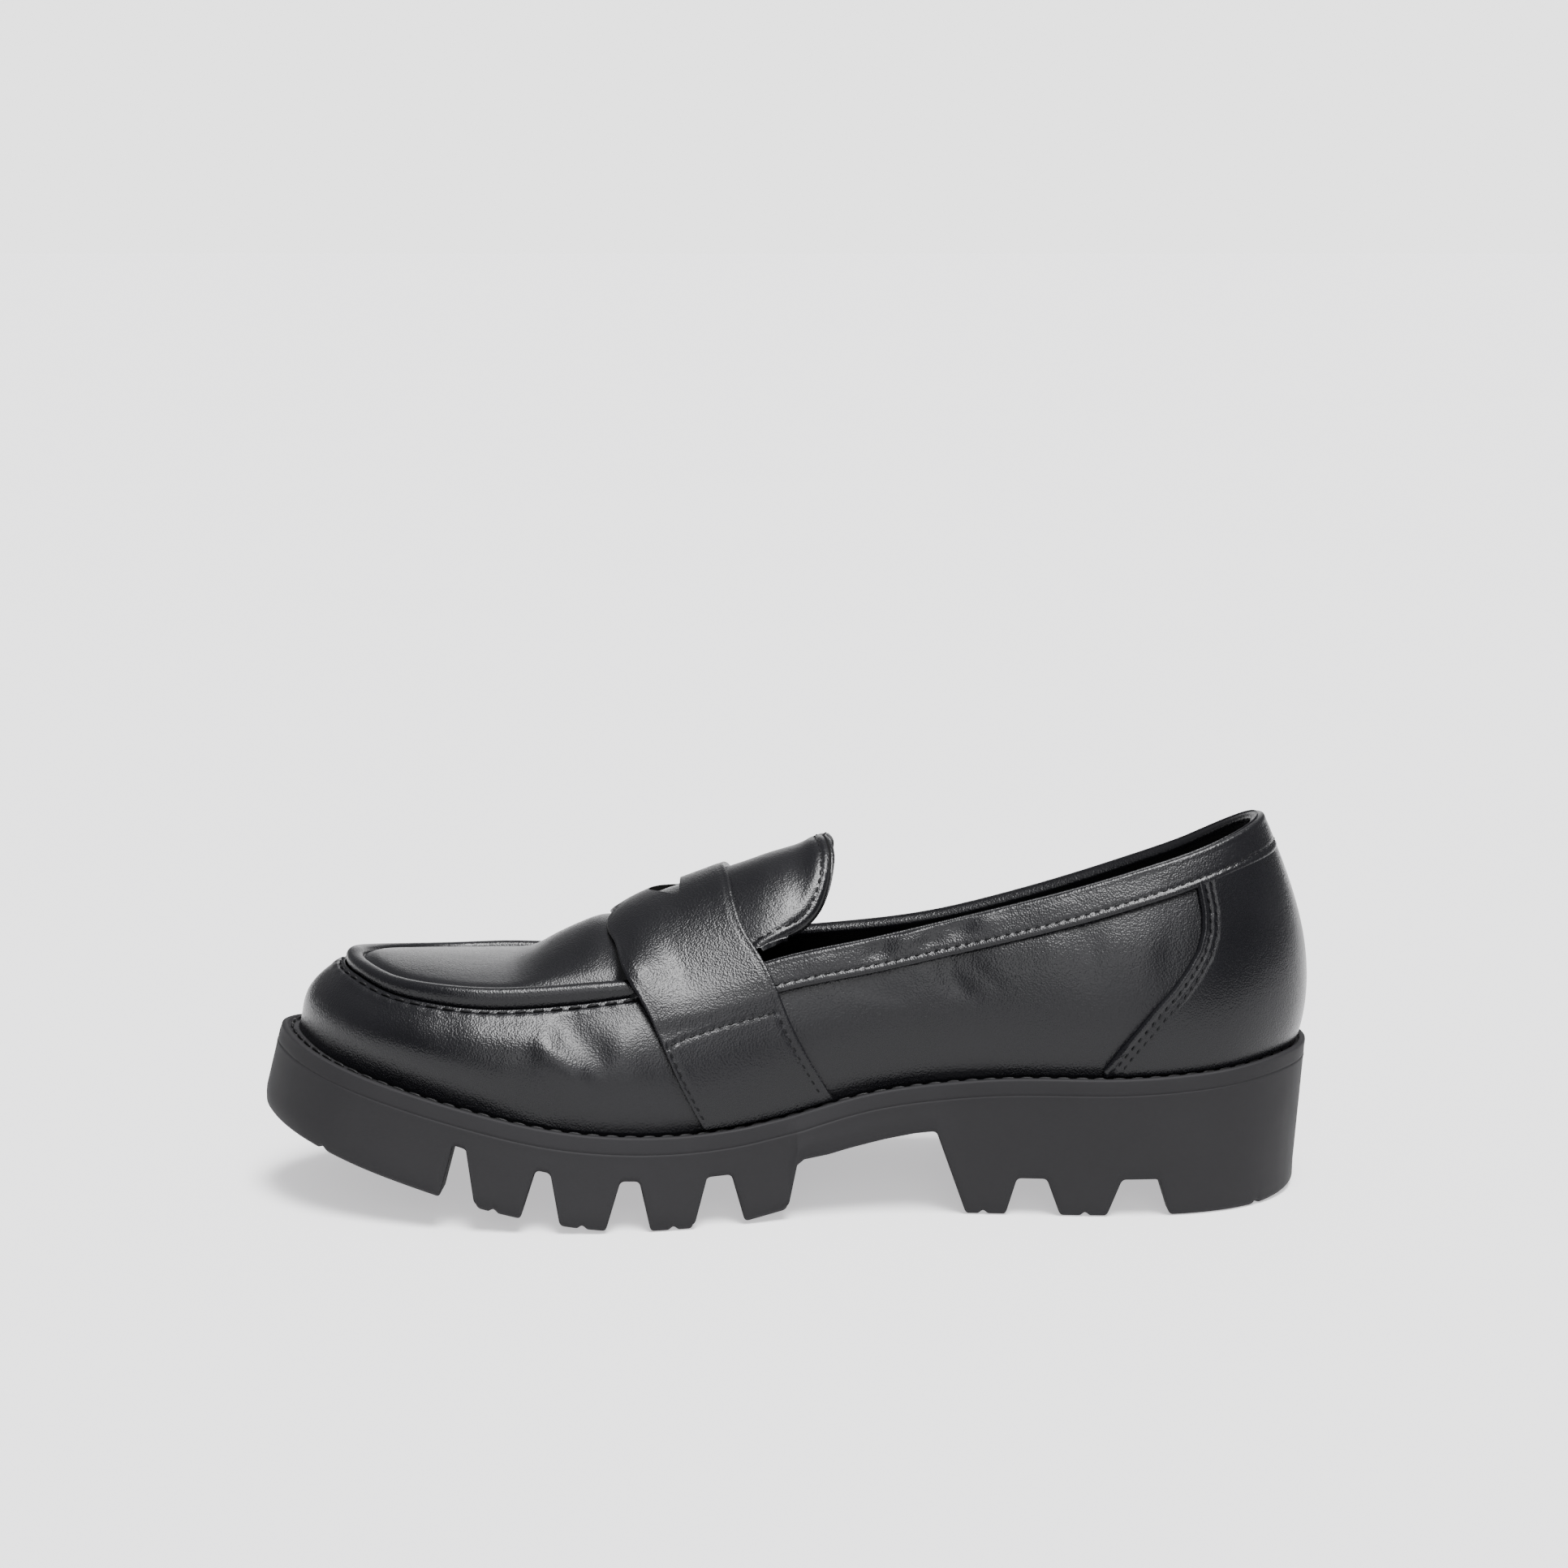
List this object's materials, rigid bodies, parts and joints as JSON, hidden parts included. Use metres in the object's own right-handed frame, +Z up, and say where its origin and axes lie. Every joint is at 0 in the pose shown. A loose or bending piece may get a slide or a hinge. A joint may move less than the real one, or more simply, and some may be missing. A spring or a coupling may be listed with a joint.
{
  "type": "lug sole loafer",
  "caption": "Right loafer on a thick lugged platform sole with a block heel, moc-toe seam, saddle strap with a half-moon slot, folded collar band and heel counter.",
  "frame": {"origin": "middle of the bounding box in plan, on the ground under the sole", "axes": "+Z up, the toe towards -X and the heel towards +X, the inner side of the foot towards -Y"},
  "size_m": [0.2794, 0.1098, 0.1007],
  "materials": {
    "sole_rubber": "matt moulded rubber, charcoal",
    "upper_leather": "satin black leather, fine pebble grain",
    "overlay_leather": "satin black leather, fine pebble grain",
    "lining": "matt dark lining"
  },
  "bodies": {
    "root": {"outsole": "sole_rubber", "insole": "lining", "upper": "upper_leather", "tongue": "upper_leather", "strap": "overlay_leather", "back_counter": "overlay_leather", "collar_band": "overlay_leather"}
  },
  "joints": []
}
